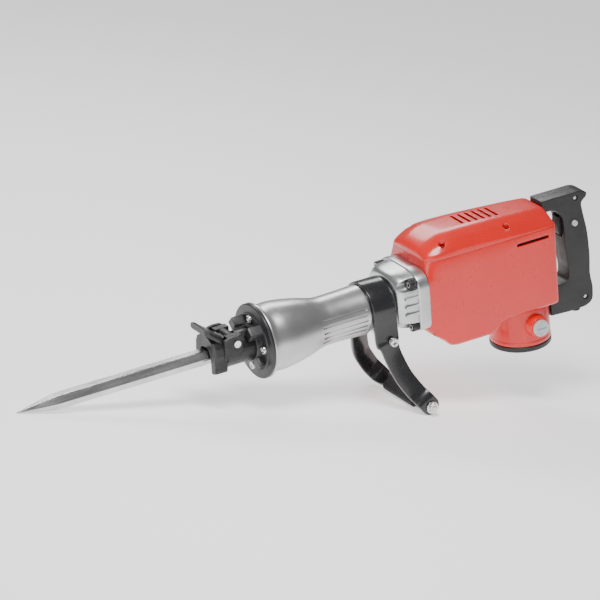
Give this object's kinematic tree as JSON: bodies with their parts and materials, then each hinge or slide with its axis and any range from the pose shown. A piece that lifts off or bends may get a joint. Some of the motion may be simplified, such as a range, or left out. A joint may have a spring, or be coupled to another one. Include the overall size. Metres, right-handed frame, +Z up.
{
  "type": "electric jackhammer",
  "caption": "Heavy electric breaker with a bull point chisel, cast barrel, red gear housing, upright motor, swivelling side handle and rear trigger grip.",
  "frame": {"origin": "centre of the bounding box at the floor the tool rests on, with its point and side handle on that floor", "axes": "+X runs along the floor from the point towards the rear grip, +Z is up, and +Y points to the side away from the side handle's closing nut"},
  "size_m": [1.0483, 0.1791, 0.3561],
  "materials": {
    "red_casting": "gloss",
    "black_casting": "satin",
    "black_enamel": "gloss",
    "black_steel": "satin",
    "cast_aluminium": "satin",
    "bright_steel": "satin",
    "zinc_plate": "satin",
    "black_plastic": "matte",
    "grey_plastic": "satin",
    "black_rubber": "matte",
    "copper_winding": "satin",
    "field_iron": "matte",
    "carbon": "matte"
  },
  "bodies": {
    "machine": {"tool_holder": "black_steel", "retainer_pin": "zinc_plate", "front_cover": "black_casting", "front_bolt_1": "zinc_plate", "front_bolt_2": "zinc_plate", "front_bolt_3": "zinc_plate", "front_bolt_4": "zinc_plate", "damper_ring": "black_rubber", "barrel": "cast_aluminium", "cylinder_liner": "bright_steel", "crankcase": "cast_aluminium", "crankcase_bolt_1": "black_steel", "crankcase_bolt_2": "black_steel", "crankcase_bolt_3": "black_steel", "crankcase_bolt_4": "black_steel", "gear_housing": "red_casting", "top_cover": "red_casting", "hood_screw_1": "black_steel", "hood_screw_2": "black_steel", "hood_screw_3": "black_steel", "hood_screw_4": "black_steel", "motor_housing": "red_casting", "tail_cover": "black_plastic", "tail_screw_near": "zinc_plate", "tail_screw_far": "zinc_plate", "stator": "field_iron", "motor_bearing_top": "bright_steel", "motor_bearing_low": "bright_steel", "crank_bearing": "bright_steel", "brush_near": "carbon", "brush_far": "carbon", "brush_cap_near": "grey_plastic", "brush_cap_far": "grey_plastic", "handle_near": "black_plastic", "handle_far": "black_plastic", "switch_block": "grey_plastic", "handle_screw_top": "zinc_plate", "handle_screw_low": "zinc_plate", "cord_gland": "black_rubber"},
    "point": {"bull_point": "bright_steel"},
    "anvil": {"impact_bolt": "bright_steel"},
    "striker": {"striker": "bright_steel"},
    "piston": {"piston": "bright_steel", "piston_pin": "bright_steel"},
    "crank": {"crankshaft": "bright_steel", "crank_gear": "bright_steel"},
    "rod": {"connecting_rod": "bright_steel"},
    "idler": {"idler_gear": "bright_steel"},
    "layshaft": {"layshaft": "bright_steel"},
    "armature": {"armature": "copper_winding", "fan": "black_plastic"},
    "retainer": {"retainer_lever": "black_steel"},
    "trigger": {"trigger": "black_plastic"},
    "lock_button": {"lock_button": "grey_plastic"},
    "side_handle": {"side_handle": "black_enamel", "side_grip": "black_plastic", "clamp_bolt": "zinc_plate", "clamp_nut": "zinc_plate", "end_stud": "zinc_plate", "end_nut": "zinc_plate"}
  },
  "joints": [
    {"name": "point_slide", "type": "slide", "parent": "machine", "child": "point", "axis": [0.9686, 0, 0.2487], "range_m": [-0.016, 0]},
    {"name": "anvil_slide", "type": "slide", "parent": "machine", "child": "anvil", "axis": [0.9686, 0, 0.2487], "range_m": [0, 0.004]},
    {"name": "striker_slide", "type": "slide", "parent": "machine", "child": "striker", "axis": [0.9686, 0, 0.2487], "range_m": [0, 0.012]},
    {"name": "piston_slide", "type": "slide", "parent": "machine", "child": "piston", "axis": [0.9686, 0, 0.2487], "range_m": [0, 0.024]},
    {"name": "crank_spin", "type": "hinge", "parent": "machine", "child": "crank", "pos_m": [0.22857, 0.0035, 0.19409], "axis": [-0.2487, 0, 0.9686], "continuous": true},
    {"name": "rod_pivot", "type": "hinge", "parent": "crank", "child": "rod", "pos_m": [0.2402, 0.0035, 0.19707], "axis": [-0.2487, 0, 0.9686], "continuous": true},
    {"name": "idler_spin", "type": "hinge", "parent": "machine", "child": "idler", "pos_m": [0.28475, 0.0035, 0.20851], "axis": [-0.2487, 0, 0.9686], "continuous": true},
    {"name": "layshaft_spin", "type": "hinge", "parent": "machine", "child": "layshaft", "pos_m": [0.31574, 0.0035, 0.21647], "axis": [-0.2487, 0, 0.9686], "continuous": true},
    {"name": "armature_spin", "type": "hinge", "parent": "machine", "child": "armature", "pos_m": [0.37095, 0.0035, 0.23065], "axis": [-0.2487, 0, 0.9686], "continuous": true},
    {"name": "retainer_swing", "type": "hinge", "parent": "machine", "child": "retainer", "pos_m": [-0.16263, 0.0035, 0.11533], "axis": [0, 1, 0], "range_deg": [0, 95]},
    {"name": "trigger_pull", "type": "slide", "parent": "machine", "child": "trigger", "axis": [0.9686, 0, 0.2487], "range_m": [0, 0.006], "stiffness_N_per_m": 1500, "springref_m": -0.003},
    {"name": "lock_press", "type": "slide", "parent": "machine", "child": "lock_button", "axis": [0, 1, 0], "range_m": [0, 0.003], "stiffness_N_per_m": 100, "springref_m": -0.003},
    {"name": "side_handle_swivel", "type": "hinge", "parent": "machine", "child": "side_handle", "pos_m": [0.10072, 0.0035, 0.16126], "axis": [0.9686, 0, 0.2487], "range_deg": [-175, 175]}
  ],
  "couplings": [
    {"joint": "rod_pivot", "follows": "crank_spin", "ratio": -1},
    {"joint": "idler_spin", "follows": "crank_spin", "ratio": -2.2222},
    {"joint": "layshaft_spin", "follows": "crank_spin", "ratio": 2.8571},
    {"joint": "armature_spin", "follows": "crank_spin", "ratio": -15.238}
  ]
}
